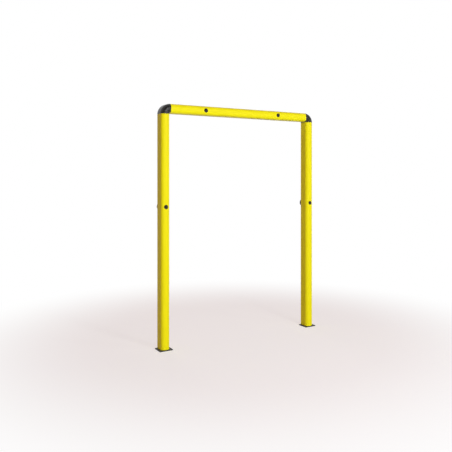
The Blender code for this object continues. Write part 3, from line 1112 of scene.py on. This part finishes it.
MOULDED_CAP = moulded_black("moulded_cap")
turned_pieces(
    "hole_caps",
    cap_section(),
    False,
    [fixing + "_cap" for fixing in FIXINGS],
    fixing_origins("cap"),
    MOULDED_CAP,
)

# Studio floor
# A plain pale floor under the guard. To the camera and in reflections it turns white away from
# the guard, and so runs into the white background without a line.

FLOOR_SIZE = 40.0
FLOOR_PALE = (0.46, 0.47, 0.48)
FLOOR_ROUGHNESS = 0.9
FLOOR_LIFT = (0.590, 0.590, 0.585)
FLOOR_FADE_START = 1.2
FLOOR_FADE_END = 3.2
STUDIO_WHITE = (1.0, 1.0, 1.0)


def sight(tree):
    """1 on the camera's own rays, and 1 on those and the rays of reflections and clear pieces."""
    camera_ray = tree.add("ShaderNodeLightPath", None, None, "Is Camera Ray")
    seen = camera_ray.maths("MAXIMUM", camera_ray, camera_ray.other("Is Glossy Ray"))
    seen = camera_ray.maths("MAXIMUM", seen, camera_ray.other("Is Transmission Ray"))
    return camera_ray, seen


def floor_finish():
    """Pale paper, lifted towards white in sight and glowing white far out."""
    paper = Finish("pale_floor", specular=0.0)
    paper.shader.inputs["Base Color"].default_value = (*FLOOR_PALE, 1.0)
    paper.shader.inputs["Roughness"].default_value = FLOOR_ROUGHNESS
    _, seen = sight(paper)
    x = paper.add("ShaderNodeSeparateXYZ", None, {0: paper.place}, "X")
    y = x.other("Y")
    white = x.maths("SQRT", x * x + y * y).between(FLOOR_FADE_START, FLOOR_FADE_END)
    glow = paper.add("ShaderNodeEmission", None, {"Color": (*STUDIO_WHITE, 1.0)})
    lift = paper.add("ShaderNodeEmission", None, {"Color": (*FLOOR_LIFT, 1.0)})
    plain = Wire(paper, paper.shader, paper.shader.outputs[0])
    lit = paper.add("ShaderNodeAddShader", None, {0: plain, 1: lift})
    faded = paper.add("ShaderNodeMixShader", None, {0: white, 1: lit, 2: glow})
    shown = paper.add("ShaderNodeMixShader", None, {0: seen, 1: plain, 2: faded})
    output = next(node for node in paper.tree.nodes if node.type == "OUTPUT_MATERIAL")
    paper.tree.links.new(shown.socket, output.inputs["Surface"])
    return paper.material


floor_mesh = bpy.data.meshes.new("studio_floor")
floor_mesh.from_pydata(
    [(x * FLOOR_SIZE, y * FLOOR_SIZE, 0.0) for x, y in ((-1, -1), (1, -1), (1, 1), (-1, 1))],
    [],
    [(0, 1, 2, 3)],
)
floor_mesh.materials.append(floor_finish())
floor = new_object("studio_floor", floor_mesh)

# Studio light
# One large soft light in front, two small ones high up and a weaker one behind. A dim warm sky
# fills the shaded sides. The camera sees white in its place, and so do reflections but in front.

SKY_FRONT = (0.12, 0.02, 0.04)
SKY_BACK = (0.45, 0.27, 0.25)
SKY_TURN = 0.30
STUDIO_DIM = (0.10, 0.10, 0.10)
DIM_FULL = -0.85
DIM_END = -0.35
KEY_SIZE = (7.0, 3.6)
KEY_PLACE = Vector((-0.7, -8.0, 1.1))
KEY_AIM = Vector((0.0, 0.0, 1.15))
KEY_POWER = 565.0
HIGH_BOX_SIZE = (0.6, 0.5)
HIGH_BOX_AIM = Vector((0.0, 0.0, 2.1))
HIGH_BOXES = {
    "middle_softbox": (Vector((0.50, -4.5, 2.78)), 30.0),
    "right_softbox": (Vector((3.40, -4.5, 2.72)), 18.0),
}
BACK_SIZE = (3.0, 2.6)
BACK_PLACE = Vector((0.8, 7.0, 1.5))
BACK_AIM = Vector((0.0, 0.0, 1.2))
BACK_POWER = 110.0
BACK_COLOUR = (1.0, 0.86, 0.74)

world = bpy.data.worlds.new("studio")
world.use_nodes = True
bpy.context.scene.world = world
sky = Tree(world.node_tree)
camera_ray, seen = sight(sky)
direction = sky.add("ShaderNodeTexCoord", None, None, "Generated")
to_back = sky.add("ShaderNodeSeparateXYZ", None, {0: direction}, "Y")
bright = to_back.maths("MAXIMUM", camera_ray, to_back.between(DIM_FULL, DIM_END))
fill = sky.mix(to_back.between(-SKY_TURN, SKY_TURN), SKY_FRONT, SKY_BACK)
colour = sky.mix(seen, fill, sky.mix(bright, STUDIO_DIM, STUDIO_WHITE))
world.node_tree.links.new(colour.socket, world.node_tree.nodes["Background"].inputs["Color"])


def area_light(name, place, aim, size, power):
    data = bpy.data.lights.new(name, "AREA")
    data.shape = "RECTANGLE"
    data.size, data.size_y = size
    data.energy = power
    light = new_object(name, data)
    light.location = place
    light.rotation_euler = (aim - place).to_track_quat("-Z", "Y").to_euler()
    return light


key = area_light("front_softbox", KEY_PLACE, KEY_AIM, KEY_SIZE, KEY_POWER)
key.visible_glossy = False
back = area_light("back_softbox", BACK_PLACE, BACK_AIM, BACK_SIZE, BACK_POWER)
back.data.color = BACK_COLOUR
back.visible_glossy = False
for name, (place, power) in HIGH_BOXES.items():
    area_light(name, place, HIGH_BOX_AIM, HIGH_BOX_SIZE, power)

# Camera
# A level camera at eye height, in front of the guard and to its left. It is turned towards the
# space between the posts, and its shift lowers the view without tilting it.

CAMERA_PLACE = (-2.9269, -4.7481, 1.5832)
CAMERA_TURN = math.radians(-30.19)
CAMERA_LENS = 44.825
SENSOR_WIDTH = 36.0
CAMERA_SHIFT_Y = -0.1094

camera_data = bpy.data.cameras.new("camera")
camera_data.lens = CAMERA_LENS
camera_data.sensor_width = SENSOR_WIDTH
camera_data.shift_y = CAMERA_SHIFT_Y
camera = new_object("camera", camera_data)
camera.location = CAMERA_PLACE
camera.rotation_euler = (QUARTER, 0.0, CAMERA_TURN)
bpy.context.scene.camera = camera
bpy.context.scene.view_settings.view_transform = "Standard"
